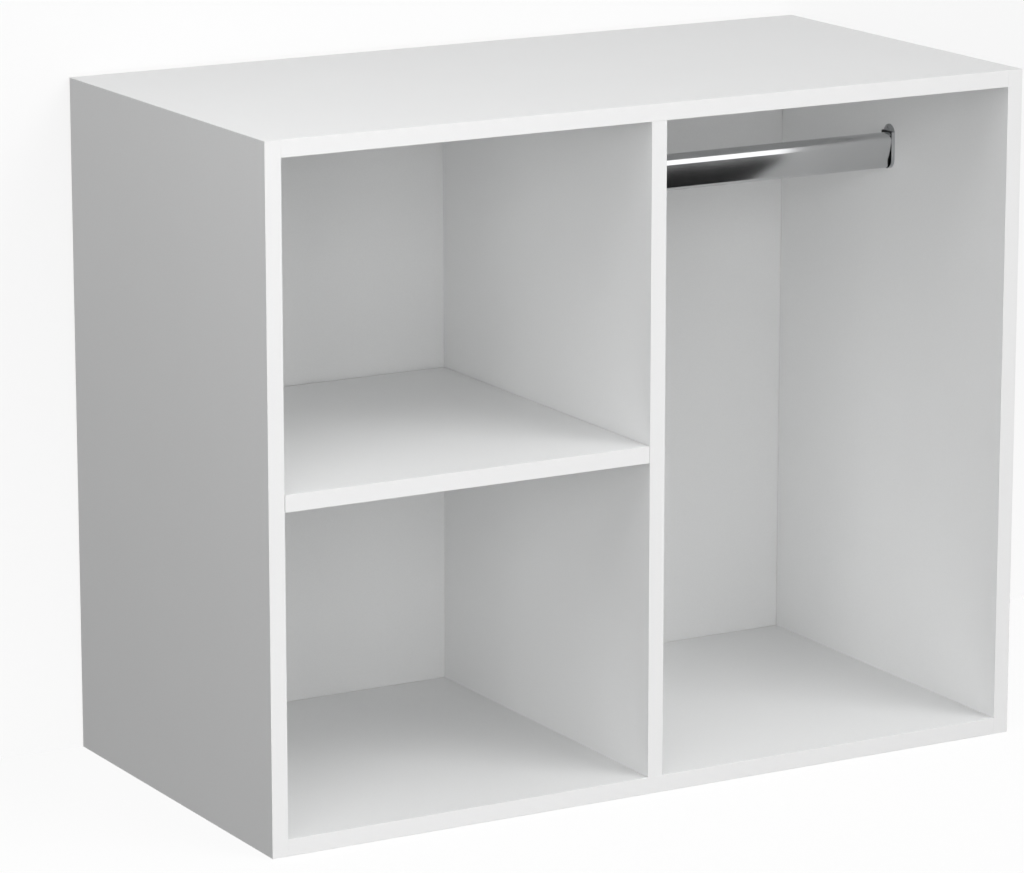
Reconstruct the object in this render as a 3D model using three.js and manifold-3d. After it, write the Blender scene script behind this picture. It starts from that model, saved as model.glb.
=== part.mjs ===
// An open wardrobe unit in white melamine board. Two bays stand side by side behind an open
// front: the left bay has a loose shelf on four pins, the right bay has a hanging rail that
// drops into two sockets. The carcass is held by cam fittings and dowels, and a thin back
// panel sits in grooves.
//
// Millimetres. +Z is up, the open front faces -Y, and the origin is on the floor under the
// middle of the unit. Panels are drawn in the unit's own frame, so that two faces that meet
// share the same coordinates. Small fittings are drawn along their own axis and then placed.

import * as THREE from 'three';
import { mergeVertices } from 'three/addons/utils/BufferGeometryUtils.js';
import Module from 'manifold-3d';

const wasm = await Module();
wasm.setup();

// Carcass
const unitWidth = 800;
const unitDepth = 400;
const unitHeight = 650;
const boardThickness = 16;
const leftBayWidth = 376;
const edgingThickness = 1;

// Back panel and its groove
const backThickness = 3;
const backSetback = 7;
const backTongue = 7;
const backGap = 0.3;

// Shelf and its pins
const shelfTopHeight = 333;
const shelfSideGap = 0.5;
const shelfBackGap = 2;
const pinPlugRadius = 2.5;
const pinPlugLength = 8;
const pinHeadRadius = 3.5;
const pinHeadLength = 9;
const pinFlatDepth = 0.5;
const pinFrontSetback = 37;
const pinRearSetback = 37;
const shelfRestGap = 0.3;

// Hanging rail: a tube with a round top and a narrower round foot
const railHeight = 35;
const railWidth = 17;
const railShoulder = 1.2;
const railFootRadius = 5;
const railWall = 1.2;
const railDrop = 72;
const railSetback = 197;
const railEndGap = 0.6;

// Rail socket: a plate with a low rim, open at the top, and a plastic pad inside it
const socketPlate = 0.8;
const socketRim = 0.5;
const socketProjection = 3.5;
const socketRimRise = 1.2;
const socketEarHeight = 8;
const socketFit = 0.3;
const padThickness = 0.4;
const padScrewGap = 0.6;

// Socket screws
const screwHeadRadius = 2.8;
const screwHeadDepth = 1.4;
const screwShankRadius = 1.5;
const screwTipLength = 2;
const screwEarRise = 4.2;
const screwSpacing = 22;
const screwSlotLength = 3.2;
const screwSlotWidth = 0.8;
const screwSlotDepth = 0.9;

// Cam fittings
const camRadius = 7.2;
const camSetback = 24;
const camMouthRadius = 3.6;
const camSlotLength = 8;
const camSlotWidth = 1.4;
const camSlotDepth = 2.4;
const boltThreadRadius = 2.5;
const boltCollarRadius = 3.2;
const boltCollarLength = 2;
const boltStemRadius = 2;
const boltHeadRadius = 3;
const boltHeadLength = 5;
const fittingFrontSetback = 50;
const fittingRearSetback = 50;

// Dowels
const dowelRadius = 4;
const dowelLength = 30;
const dowelInFace = 10;
const dowelChamfer = 1.2;
const dowelOffset = 32;

// Drilling
const drillFloor = 3.5;
const drillGap = 0.3;
const drillEndGap = 0.5;
const cutOvershoot = 1;

// Facets
const fineFacets = 16;
const coarseFacets = 10;
const arcSteps = 7;

// Planes that the panels share
const left = -unitWidth / 2;
const right = unitWidth / 2;
const front = -unitDepth / 2;
const rear = unitDepth / 2;
const insideLeft = left + boardThickness;
const insideRight = right - boardThickness;
const insideFloor = boardThickness;
const insideCeiling = unitHeight - boardThickness;
const dividerLeft = insideLeft + leftBayWidth;
const dividerRight = dividerLeft + boardThickness;
const backRear = rear - backSetback;
const backFront = backRear - backThickness;
const boardFront = front + edgingThickness;
const shelfUnderside = shelfTopHeight - boardThickness;
const fittingYs = { front: front + fittingFrontSetback, rear: rear - fittingRearSetback };
const blindDepth = boardThickness - drillFloor;

const X = new THREE.Vector3(1, 0, 0);
const Y = new THREE.Vector3(0, 1, 0);
const Z = new THREE.Vector3(0, 0, 1);
const minusX = X.clone().negate();
const minusZ = Z.clone().negate();

// Colours and finishes
function finish(color, roughness, metalness = 0) {
  return new THREE.MeshStandardMaterial({ color, roughness, metalness });
}
const melamine = finish(0xe9eaeb, 0.5);
const edgeBand = finish(0xf1f1f1, 0.42);
const hardboard = finish(0xe4e5e6, 0.62);
const chrome = finish(0xc9cbcd, 0.16, 1);
const castZinc = finish(0xa9abad, 0.4, 1);
const blackPlastic = finish(0x141414, 0.6);
const beech = finish(0xd3b283, 0.8);

// A box between two corners
function block(x0, x1, y0, y1, z0, z1) {
  const box = new THREE.BoxGeometry(x1 - x0, y1 - y0, z1 - z0);
  const corner = box.getAttribute('position');
  for (let i = 0; i < corner.count; i += 1) {
    corner.setXYZ(
      i,
      corner.getX(i) < 0 ? x0 : x1,
      corner.getY(i) < 0 ? y0 : y1,
      corner.getZ(i) < 0 ? z0 : z1,
    );
  }
  return box;
}

// A closed solid turned round +Z from [radius, height] points, lowest first
function turned(profile, facets) {
  const points = profile.map(([radius, height]) => new THREE.Vector2(radius, height));
  return new THREE.LatheGeometry(points, facets).rotateX(Math.PI / 2);
}

function cylinder(radius, from, to, facets) {
  return turned([[0, from], [radius, from], [radius, to], [0, to]], facets);
}

// Joins and cuts
function toSolid(geometry) {
  const bare = geometry.clone();
  bare.deleteAttribute('normal');
  bare.deleteAttribute('uv');
  const merged = mergeVertices(bare);
  return new wasm.Manifold(new wasm.Mesh({
    numProp: 3,
    vertProperties: new Float32Array(merged.getAttribute('position').array),
    triVerts: new Uint32Array(merged.getIndex().array),
  }));
}

function cut(geometry, cutters) {
  let solid = toSolid(geometry);
  for (const cutter of cutters) {
    solid = solid.subtract(toSolid(cutter));
  }
  const mesh = solid.getMesh();
  const result = new THREE.BufferGeometry();
  result.setAttribute('position', new THREE.BufferAttribute(mesh.vertProperties, 3));
  result.setIndex(new THREE.BufferAttribute(mesh.triVerts, 1));
  result.computeVertexNormals();
  return result;
}

// A place has an origin, an axis that its +Z turns to and an up direction that its +Y turns to
function place(origin, axis, up) {
  return new THREE.Matrix4()
    .makeBasis(new THREE.Vector3().crossVectors(up, axis), up, axis)
    .setPosition(origin);
}

function at(spot, geometry) {
  return geometry.clone().applyMatrix4(spot);
}

function piece(name, geometry, material, spot = new THREE.Matrix4()) {
  const mesh = new THREE.Mesh(geometry, material);
  mesh.name = name;
  spot.decompose(mesh.position, mesh.quaternion, mesh.scale);
  return mesh;
}

// Dowels and cam fittings. Each joint is given by the face that is drilled flat on, where the
// bolt is screwed in, and the axis that runs from there into the end of the other board. The
// cams open on faces that a person in front of the unit doesn't see.
function cornerJoint(name, isRight, isTop) {
  return {
    name,
    host: isRight ? 'right' : 'left',
    guest: isTop ? 'top' : 'bottom',
    x: isRight ? insideRight : insideLeft,
    z: isTop ? unitHeight - boardThickness / 2 : boardThickness / 2,
    axis: isRight ? minusX : X,
    camSide: minusZ,
  };
}

function dividerJoint(name, isTop) {
  return {
    name,
    host: isTop ? 'top' : 'bottom',
    guest: 'divider',
    x: (dividerLeft + dividerRight) / 2,
    z: isTop ? insideCeiling : insideFloor,
    axis: isTop ? minusZ : Z,
    camSide: X,
  };
}

const joints = [
  cornerJoint('top_left', false, true),
  cornerJoint('top_right', true, true),
  cornerJoint('bottom_left', false, false),
  cornerJoint('bottom_right', true, false),
  dividerJoint('divider_top', true),
  dividerJoint('divider_bottom', false),
];

const boltThreadLength = blindDepth - drillEndGap;
const boltLength = camSetback + boltHeadLength / 2;
const camDepth = blindDepth - drillEndGap;

function boltShape() {
  const neck = boltLength - boltHeadLength;
  return turned([
    [0, -boltThreadLength],
    [boltThreadRadius, -boltThreadLength + 1],
    [boltThreadRadius, 0],
    [boltCollarRadius, 0],
    [boltCollarRadius, boltCollarLength],
    [boltStemRadius, boltCollarLength],
    [boltStemRadius, neck],
    [boltHeadRadius, neck + 1],
    [boltHeadRadius, boltLength - 1],
    [0, boltLength],
  ], coarseFacets);
}

// The cam's axis is +Z with its face at 0, and the bolt comes in along -Y at mid-board
function camShape() {
  const mouth = cylinder(camMouthRadius, -boltHeadLength, camRadius + cutOvershoot, coarseFacets)
    .rotateX(Math.PI / 2)
    .translate(0, 0, -boardThickness / 2);
  const slots = [0, Math.PI / 2].map((turn) => block(
    -camSlotLength / 2, camSlotLength / 2,
    -camSlotWidth / 2, camSlotWidth / 2,
    -camSlotDepth, cutOvershoot,
  ).rotateZ(turn + Math.PI / 4));
  return cut(cylinder(camRadius, -camDepth, 0, fineFacets), [mouth, ...slots]);
}

function dowelShape() {
  const inEnd = dowelLength - dowelInFace;
  return turned([
    [0, -dowelInFace],
    [dowelRadius - dowelChamfer, -dowelInFace],
    [dowelRadius, -dowelInFace + dowelChamfer],
    [dowelRadius, inEnd - dowelChamfer],
    [dowelRadius - dowelChamfer, inEnd],
    [0, inEnd],
  ], coarseFacets);
}

const holes = { left: [], right: [], top: [], bottom: [], divider: [] };
const fittings = [];

function addCamFitting(joint, end) {
  const seat = new THREE.Vector3(joint.x, fittingYs[end], joint.z);
  const boltSpot = place(seat, joint.axis, joint.camSide);
  const camCentre = seat.clone()
    .addScaledVector(joint.axis, camSetback)
    .addScaledVector(joint.camSide, boardThickness / 2);
  const camSpot = place(camCentre, joint.camSide, joint.axis);
  const thread = cylinder(boltThreadRadius + drillGap, -blindDepth, cutOvershoot, coarseFacets);
  const endBore = cylinder(boltCollarRadius + drillGap, -cutOvershoot, camSetback, coarseFacets);
  const pocket = cylinder(camRadius + drillGap, -blindDepth, cutOvershoot, fineFacets);
  holes[joint.host].push(at(boltSpot, thread));
  holes[joint.guest].push(at(boltSpot, endBore), at(camSpot, pocket));
  fittings.push(
    piece(`cam_bolt_${joint.name}_${end}`, boltShape(), castZinc, boltSpot),
    piece(`cam_${joint.name}_${end}`, camShape(), castZinc, camSpot),
  );
}

function addDowel(joint, end, y) {
  const spot = place(new THREE.Vector3(joint.x, y, joint.z), joint.axis, joint.camSide);
  const inEnd = dowelLength - dowelInFace;
  const radius = dowelRadius + drillGap;
  const inFace = cylinder(radius, -dowelInFace - drillEndGap, cutOvershoot, coarseFacets);
  const bore = cylinder(radius, -cutOvershoot, inEnd + drillEndGap, coarseFacets);
  holes[joint.host].push(at(spot, inFace));
  holes[joint.guest].push(at(spot, bore));
  fittings.push(piece(`dowel_${joint.name}_${end}`, dowelShape(), beech, spot));
}

for (const joint of joints) {
  addCamFitting(joint, 'front');
  addCamFitting(joint, 'rear');
  if (joint.guest === 'divider') {
    addDowel(joint, 'middle', (front + backFront) / 2);
  } else {
    addDowel(joint, 'front', fittingYs.front + dowelOffset);
    addDowel(joint, 'rear', fittingYs.rear - dowelOffset);
  }
}

// Shelf pins. The flat on each head carries the shelf.
const pinZ = shelfUnderside - shelfRestGap + pinFlatDepth - pinHeadRadius;

function pinShape() {
  const flat = block(
    -pinHeadRadius * 2, pinHeadRadius * 2,
    pinHeadRadius - pinFlatDepth, pinHeadRadius * 2,
    -cutOvershoot, pinHeadLength + cutOvershoot,
  );
  return cut(turned([
    [0, -pinPlugLength],
    [pinPlugRadius, -pinPlugLength],
    [pinPlugRadius, 0],
    [pinHeadRadius, 0],
    [pinHeadRadius, pinHeadLength],
    [0, pinHeadLength],
  ], fineFacets), [flat]);
}

function addPin(name, host, x, axis, y) {
  const spot = place(new THREE.Vector3(x, y, pinZ), axis, Z);
  const depth = pinPlugLength + drillEndGap;
  const hole = cylinder(pinPlugRadius + drillGap, -depth, cutOvershoot, coarseFacets);
  holes[host].push(at(spot, hole));
  fittings.push(piece(name, pinShape(), castZinc, spot));
}

const pinFrontY = front + pinFrontSetback;
const pinRearY = backFront - pinRearSetback;
addPin('shelf_pin_left_front', 'left', insideLeft, X, pinFrontY);
addPin('shelf_pin_left_rear', 'left', insideLeft, X, pinRearY);
addPin('shelf_pin_right_front', 'divider', dividerLeft, minusX, pinFrontY);
addPin('shelf_pin_right_rear', 'divider', dividerLeft, minusX, pinRearY);

// Hanging rail. The section's origin is the middle of its round top.
const railRadius = railWidth / 2;
const railY = front + railSetback;
const railCentreZ = insideCeiling - railDrop - railRadius;
const railFootDrop = railHeight - railRadius - railFootRadius;

// The sides drop straight from the ends of the round top for a short way, then close in to meet
// the foot's arc square on
function railOutline(path, inset) {
  const topRadius = railRadius - inset;
  const footRadius = railFootRadius - inset;
  const flankDrop = railFootDrop - railShoulder;
  const reach = Math.hypot(topRadius, flankDrop);
  const lean = Math.atan2(topRadius, flankDrop) - Math.asin(footRadius / reach);
  path.absarc(0, 0, topRadius, 0, Math.PI, false);
  path.lineTo(-topRadius, -railShoulder);
  path.absarc(0, -railFootDrop, footRadius, Math.PI + lean, 2 * Math.PI - lean, false);
  path.lineTo(topRadius, -railShoulder);
  path.closePath();
  return path;
}

const railInset = socketPlate + padThickness + railEndGap;
const railStart = dividerRight + railInset;
const railLength = insideRight - railInset - railStart;

function railShape() {
  const section = railOutline(new THREE.Shape(), 0);
  section.holes.push(railOutline(new THREE.Path(), railWall));
  return new THREE.ExtrudeGeometry(section, {
    depth: railLength, bevelEnabled: false, curveSegments: arcSteps,
  });
}

// Rail sockets. Their own frame has +Y up and +Z out of the board, with the origin level with
// the middle of the rail's round top.
const pocketRadius = railRadius + socketFit;
const socketRadius = pocketRadius + socketRim;
const pocketFootY = railRadius - railHeight - socketFit + pocketRadius;
const rimTop = railRadius + socketRimRise;
const earTop = railRadius + socketEarHeight;
const upperScrewY = railRadius + screwEarRise;
const lowerScrewY = upperScrewY - screwSpacing;

// An upright slot shape between the centres of its two round ends
function slotOutline(radius, lowY, highY) {
  const shape = new THREE.Shape();
  shape.absarc(0, highY, radius, 0, Math.PI, false);
  shape.absarc(0, lowY, radius, Math.PI, 2 * Math.PI, false);
  shape.closePath();
  return shape;
}

function slab(shape, from, to) {
  return new THREE.ExtrudeGeometry(shape, {
    depth: to - from, bevelEnabled: false, curveSegments: arcSteps,
  }).translate(0, 0, from);
}

// The screw stands head outwards, with its face at 0. The wider copy of it is the hole.
const screwLength = socketPlate + blindDepth - drillEndGap;

function screwBody(grow, above) {
  const neck = screwShankRadius + grow;
  return turned([
    [0, -screwLength - grow],
    [neck, -screwLength - grow + screwTipLength],
    [neck, -screwHeadDepth - grow],
    [screwHeadRadius + grow, -grow],
    [screwHeadRadius + grow, above],
    [0, above],
  ], fineFacets);
}

function screwShape() {
  const slots = [0, Math.PI / 2].map((turn) => block(
    -screwSlotLength / 2, screwSlotLength / 2,
    -screwSlotWidth / 2, screwSlotWidth / 2,
    -screwSlotDepth, cutOvershoot,
  ).rotateZ(turn));
  return cut(screwBody(0, 0), slots);
}

function screwHole(y) {
  return screwBody(drillGap, cutOvershoot).translate(0, y, socketPlate);
}

function socketShape() {
  const outer = slotOutline(socketRadius, pocketFootY, earTop - socketRadius);
  const pocket = slotOutline(pocketRadius, pocketFootY, earTop + pocketRadius);
  const aboveRim = block(
    -socketRadius - cutOvershoot, socketRadius + cutOvershoot,
    rimTop, earTop + cutOvershoot,
    socketPlate, socketProjection + cutOvershoot,
  );
  return cut(slab(outer, 0, socketProjection), [
    slab(pocket, socketPlate, socketProjection + cutOvershoot),
    aboveRim,
    screwHole(upperScrewY),
    screwHole(lowerScrewY),
  ]);
}

function padShape() {
  const low = socketPlate;
  const high = socketPlate + padThickness;
  const outline = slotOutline(pocketRadius - socketFit, pocketFootY, earTop);
  const above = block(
    -socketRadius, socketRadius,
    rimTop, earTop + socketRadius,
    low - cutOvershoot, high + cutOvershoot,
  );
  const headHole = cylinder(
    screwHeadRadius + padScrewGap, low - cutOvershoot, high + cutOvershoot, fineFacets,
  ).translate(0, lowerScrewY, 0);
  return cut(slab(outline, low, high), [above, headHole]);
}

function addSocket(side, host, x, axis) {
  const spot = place(new THREE.Vector3(x, railY, railCentreZ), axis, Z);
  fittings.push(
    piece(`rail_socket_${side}`, at(spot, socketShape()), castZinc),
    piece(`rail_pad_${side}`, at(spot, padShape()), blackPlastic),
  );
  for (const [level, y] of [['upper', upperScrewY], ['lower', lowerScrewY]]) {
    const screwSpot = spot.clone().multiply(new THREE.Matrix4().setPosition(0, y, socketPlate));
    holes[host].push(at(spot, screwHole(y)));
    fittings.push(piece(`socket_screw_${side}_${level}`, screwShape(), castZinc, screwSpot));
  }
}

addSocket('left', 'divider', dividerRight, X);
addSocket('right', 'right', insideRight, minusX);

// The back panel reaches into a groove in all four outer boards
const backLow = insideFloor - backTongue;
const backHigh = insideCeiling + backTongue;
const backLeft = insideLeft - backTongue;
const backRight = insideRight + backTongue;
const groove = block(
  backLeft - backGap, backRight + backGap,
  backFront - backGap, backRear + backGap,
  backLow - backGap, backHigh + backGap,
);

// Panels, each with a band glued along its front edge
function addBoard(group, name, x0, x1, depthEnd, z0, z1, cutters) {
  const board = block(x0, x1, boardFront, depthEnd, z0, z1);
  const shape = cutters.length > 0 ? cut(board, cutters) : board;
  group.add(
    piece(name, shape, melamine),
    piece(`${name}_edging`, block(x0, x1, front, boardFront, z0, z1), edgeBand),
  );
}

const carcass = new THREE.Group();
const floorZ = 0;
addBoard(carcass, 'left_side', left, insideLeft, rear, floorZ, unitHeight,
  [groove, ...holes.left]);
addBoard(carcass, 'right_side', insideRight, right, rear, floorZ, unitHeight,
  [groove, ...holes.right]);
addBoard(carcass, 'top_panel', insideLeft, insideRight, rear, insideCeiling, unitHeight,
  [groove, ...holes.top]);
addBoard(carcass, 'bottom_panel', insideLeft, insideRight, rear, floorZ, insideFloor,
  [groove, ...holes.bottom]);
addBoard(carcass, 'divider', dividerLeft, dividerRight, backFront, insideFloor, insideCeiling,
  holes.divider);
carcass.add(
  piece('back_panel', block(backLeft, backRight, backFront, backRear, backLow, backHigh),
    hardboard),
  ...fittings,
);

// Loose pieces: the shelf draws forward off its pins, and the rail lifts out of its sockets
const shelf = new THREE.Group();
addBoard(shelf, 'shelf', insideLeft + shelfSideGap, dividerLeft - shelfSideGap,
  backFront - shelfBackGap, shelfUnderside, shelfTopHeight, []);

const rail = new THREE.Group();
const railSpot = place(new THREE.Vector3(railStart, railY, railCentreZ), X, Z);
rail.add(piece('hanging_rail', railShape(), chrome, railSpot));

const wardrobe = new THREE.Group();
wardrobe.add(carcass, shelf, rail);

export default wardrobe;
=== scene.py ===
# %% [markdown]
# # An open wardrobe unit in white melamine board
# The unit is a box of 16 mm board with an upright divider. A loose shelf lies on four pins on
# the left, and a hanging rail drops into two sockets on the right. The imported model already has
# every piece at its real size and place. This lesson dresses it: each board gets softened
# edges, bare chipboard where a saw has cut it and a plastic band along its front, and the metal
# pieces get their finer shapes and finishes.
#
# All lengths are in metres. The sizes below are written in millimetres, as on a drawing, and
# multiplied by MM.

# %% Load the frame
import math

import bmesh
import bpy
from mathutils import Matrix, Quaternion, Vector


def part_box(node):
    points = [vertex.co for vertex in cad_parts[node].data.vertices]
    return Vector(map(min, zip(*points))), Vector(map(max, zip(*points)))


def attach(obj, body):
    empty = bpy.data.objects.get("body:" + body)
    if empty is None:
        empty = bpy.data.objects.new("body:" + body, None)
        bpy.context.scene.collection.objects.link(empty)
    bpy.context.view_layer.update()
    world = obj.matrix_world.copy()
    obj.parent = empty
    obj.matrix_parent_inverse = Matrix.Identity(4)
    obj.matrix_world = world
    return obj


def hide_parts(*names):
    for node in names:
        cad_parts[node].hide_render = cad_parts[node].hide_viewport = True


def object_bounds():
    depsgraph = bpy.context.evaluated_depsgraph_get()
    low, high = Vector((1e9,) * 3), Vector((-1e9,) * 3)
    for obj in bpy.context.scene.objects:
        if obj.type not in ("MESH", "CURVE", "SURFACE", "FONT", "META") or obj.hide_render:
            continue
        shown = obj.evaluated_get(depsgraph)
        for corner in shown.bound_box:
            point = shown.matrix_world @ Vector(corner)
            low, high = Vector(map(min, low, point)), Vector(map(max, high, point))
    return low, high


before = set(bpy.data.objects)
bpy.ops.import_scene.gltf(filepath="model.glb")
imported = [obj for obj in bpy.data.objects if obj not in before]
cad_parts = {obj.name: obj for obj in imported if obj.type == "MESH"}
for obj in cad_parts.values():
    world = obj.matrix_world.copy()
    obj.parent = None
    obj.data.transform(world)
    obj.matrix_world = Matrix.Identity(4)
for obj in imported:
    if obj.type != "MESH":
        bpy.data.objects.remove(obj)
cad_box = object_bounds()
MM = 0.001
print("the unit measures", [round(side / MM, 1) for side in cad_box[1] - cad_box[0]], "mm")

# %% [markdown]
# ## The planes that the boards share
# Everything that is made later sits on one of these planes, so they are read from the packed
# boards once, and not typed in again.

# %% Shared planes
unit_low, unit_high = cad_box
inside_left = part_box("left_side")[1].x
inside_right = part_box("right_side")[0].x
inside_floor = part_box("bottom_panel")[1].z
divider_left, divider_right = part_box("divider")[0].x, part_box("divider")[1].x
board_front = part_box("divider")[0].y
rail_low, rail_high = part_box("hanging_rail")
middle = (unit_low + unit_high) / 2
print("left bay", round((divider_left - inside_left) / MM, 1), "mm wide, right bay",
      round((inside_right - divider_right) / MM, 1), "mm")

# %% [markdown]
# ## The camera
# The photograph was taken from the front left and a little above, with a long lens, so the
# sides of the unit run almost parallel. These numbers come from matching the unit's corners.
# The lens shift stays at zero.

# %% Camera
CAMERA_PLACE = (-2.3146, -3.9807, 1.3868)
CAMERA_PITCH = 13.276
CAMERA_YAW = 29.751
CAMERA_LENS = 174.6

camera_data = bpy.data.cameras.new("photo_camera")
camera_data.sensor_width = 36
camera_data.lens = CAMERA_LENS
camera = bpy.data.objects.new("photo_camera", camera_data)
camera.location = CAMERA_PLACE
camera.rotation_euler = (math.radians(90 - CAMERA_PITCH), 0, -math.radians(CAMERA_YAW))
bpy.context.scene.collection.objects.link(camera)
bpy.context.scene.camera = camera
bpy.context.scene.view_settings.view_transform = "Standard"
print("camera", round((camera.location - middle).length, 2), "m from the middle of the unit")

# %% [markdown]
# ## Small helpers for nodes
# Shader trees and geometry trees are both made of nodes with named inputs. One helper adds a
# node and fills its inputs, either with a plain value or with another node's output.

# %% Node helpers
def node(tree, kind, inputs=None, **settings):
    made = tree.nodes.new(kind)
    for name, value in settings.items():
        setattr(made, name, value)
    for name, value in (inputs or {}).items():
        if isinstance(value, bpy.types.NodeSocket):
            tree.links.new(value, made.inputs[name])
        else:
            made.inputs[name].default_value = value
    return made


def math_node(tree, operation, *values):
    made = node(tree, "ShaderNodeMath", dict(enumerate(values)), operation=operation)
    return made.outputs[0]


def plus(tree, first, second):
    return math_node(tree, "ADD", first, second)


def minus(tree, first, second):
    return math_node(tree, "SUBTRACT", first, second)


def times(tree, first, second):
    return math_node(tree, "MULTIPLY", first, second)


def vector_of(tree, **axes):
    """A vector with a plain number or another node's output for each axis that is given."""
    return node(tree, "ShaderNodeCombineXYZ",
                {name.upper(): value for name, value in axes.items()}).outputs[0]


def blend_colour(tree, factor, first, second):
    made = node(tree, "ShaderNodeMix", {0: factor, 6: first, 7: second}, data_type="RGBA")
    return made.outputs[2]


def new_group(name, kind, inputs, outputs):
    tree = bpy.data.node_groups.new(name, kind)
    for label, socket_type, value in inputs:
        socket = tree.interface.new_socket(label, in_out="INPUT", socket_type=socket_type)
        if value is not None:
            socket.default_value = value
    for label, socket_type in outputs:
        tree.interface.new_socket(label, in_out="OUTPUT", socket_type=socket_type)
    return tree, tree.nodes.new("NodeGroupInput"), tree.nodes.new("NodeGroupOutput")


FLOAT, VECTOR = "NodeSocketFloat", "NodeSocketVector"
GEOMETRY, MATERIAL = "NodeSocketGeometry", "NodeSocketMaterial"

# %% [markdown]
# ## Light
# A white unit shows its shape only by small steps of grey, so the light does most of the work.
# Five large soft lamps stand far off in front, so that their light is as strong at the foot of
# the unit as at its top. One small lamp near the left side makes that side fade towards the
# wall. A faint one below floor level stands for the light that a pale floor throws back up at
# the front. Two weak ones behind are for views from the rear. No lamp shows in reflections:
# the low ones would burn the top out to white when it is seen from behind, and what the chrome
# mirrors is easier to steer in the room around it.

# %% Lamps
LAMP_AIM = Vector((0.0, 0.0, 0.32))
FAR, FAR_SIZE = 9.0, 4.2


def lamp(name, azimuth, elevation, power, distance=FAR, size=FAR_SIZE):
    data = bpy.data.lights.new(name, "AREA")
    data.shape = "SQUARE"
    data.size = size
    data.energy = power
    made = bpy.data.objects.new(name, data)
    turn, lift = math.radians(azimuth), math.radians(elevation)
    back = Vector((math.sin(turn) * math.cos(lift), -math.cos(turn) * math.cos(lift),
                   math.sin(lift)))
    made.location = LAMP_AIM + back * distance
    made.rotation_mode = "QUATERNION"
    made.rotation_quaternion = (-back).to_track_quat("-Z", "Y")
    made.visible_glossy = False
    made.visible_camera = False
    bpy.context.scene.collection.objects.link(made)
    return made


lamps = [
    lamp("left_low", -45, 10, 229),
    lamp("front_low", 0, 15, 143),
    lamp("right_low", 30, 20, 117),
    lamp("right_high", 30, 45, 240),
    lamp("far_right_high", 60, 50, 130),
    lamp("near_left", -50, 50, 6.6, distance=1.7, size=1.0),
    lamp("floor_bounce", -20, -25, 3.6, distance=1.6, size=1.2),
    lamp("rear_low", 170, 8, 180),
    lamp("rear_left", -155, 10, 72),
]
print(len(lamps), "lamps,", round(sum(made.data.energy for made in lamps)), "W in all")

# %% [markdown]
# The room itself is the world's colour. The camera sees it as plain white. The boards are lit
# by a faint even grey that fills the shadows. For mirrored rays the world is white at eye level
# and above, and falls off quickly to dark below, like an unlit studio floor. Without that dark
# half, a chromed tube would look like white plastic. In front, from eye level to half way up,
# it is brighter still, as if a lit white screen stood there: that is the bright line along the
# rail.

# %% World
ROOM_FILL = (0.132, 0.132, 0.132, 1)
MIRRORED_DARK = (0.022, 0.022, 0.022, 1)
MIRRORED_FLOOR = (0.085, 0.085, 0.085, 1)
MIRRORED_SCREEN = (1.9, 1.9, 1.9, 1)
WHITE = (1, 1, 1, 1)
DARK_TO_WHITE = (-0.31, -0.25)
DARK_TO_FLOOR = (-0.7, -0.3)
SCREEN_SIDE = (-0.3, -0.5)
SCREEN_TOP = (0.65, 0.5)

world = bpy.data.worlds.new("studio_room")
bpy.context.scene.world = world
world.use_nodes = True
room = world.node_tree
room.nodes.clear()
direction = node(room, "ShaderNodeSeparateXYZ",
                 {0: node(room, "ShaderNodeTexCoord").outputs["Generated"]})


def ramp(axis, span):
    """Rises from 0 to 1 as one axis of the ray's direction crosses the span."""
    return node(room, "ShaderNodeMapRange", {
        0: direction.outputs[axis], 1: span[0], 2: span[1]}).outputs[0]


floor_glow = blend_colour(room, math_node(room, "POWER", ramp("Z", DARK_TO_FLOOR), 3.0),
                          MIRRORED_DARK, MIRRORED_FLOOR)
screen = times(room, ramp("Y", SCREEN_SIDE), ramp("Z", SCREEN_TOP))
above_floor = blend_colour(room, screen, WHITE, MIRRORED_SCREEN)
soft_light = node(room, "ShaderNodeBackground", {0: ROOM_FILL})
mirrored = node(room, "ShaderNodeBackground",
                {0: blend_colour(room, ramp("Z", DARK_TO_WHITE), floor_glow, above_floor)})
backdrop_white = node(room, "ShaderNodeBackground", {0: WHITE})
ray = node(room, "ShaderNodeLightPath")
sharp_ray = math_node(room, "MAXIMUM", ray.outputs["Is Glossy Ray"],
                      ray.outputs["Is Transmission Ray"])
unseen = node(room, "ShaderNodeMixShader",
              {0: sharp_ray, 1: soft_light.outputs[0], 2: mirrored.outputs[0]})
seen = node(room, "ShaderNodeMixShader",
            {0: ray.outputs["Is Camera Ray"], 1: unseen.outputs[0],
             2: backdrop_white.outputs[0]})
node(room, "ShaderNodeOutputWorld", {"Surface": seen.outputs[0]})
print("world", world.name)

# %% [markdown]
# ## Floor and wall
# Both are large flat sheets for the camera alone. Their front side is a nearly white glow with
# a small share of real shading, which is what keeps the unit's soft shadow. The wall is a touch
# greyer than the floor and fades into it at its foot, so no line shows where they meet. From
# behind, and for the light that falls on the unit, both are clear, so that views from the rear
# and from below still show the unit. The floor runs on under the wall for the rear views.

# %% Floor and wall
STAGE_REACH = 12.0
WALL_GAP = 3 * MM
FLOOR_GAP = 0.4 * MM
FADE_HEIGHT = 0.6


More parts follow.
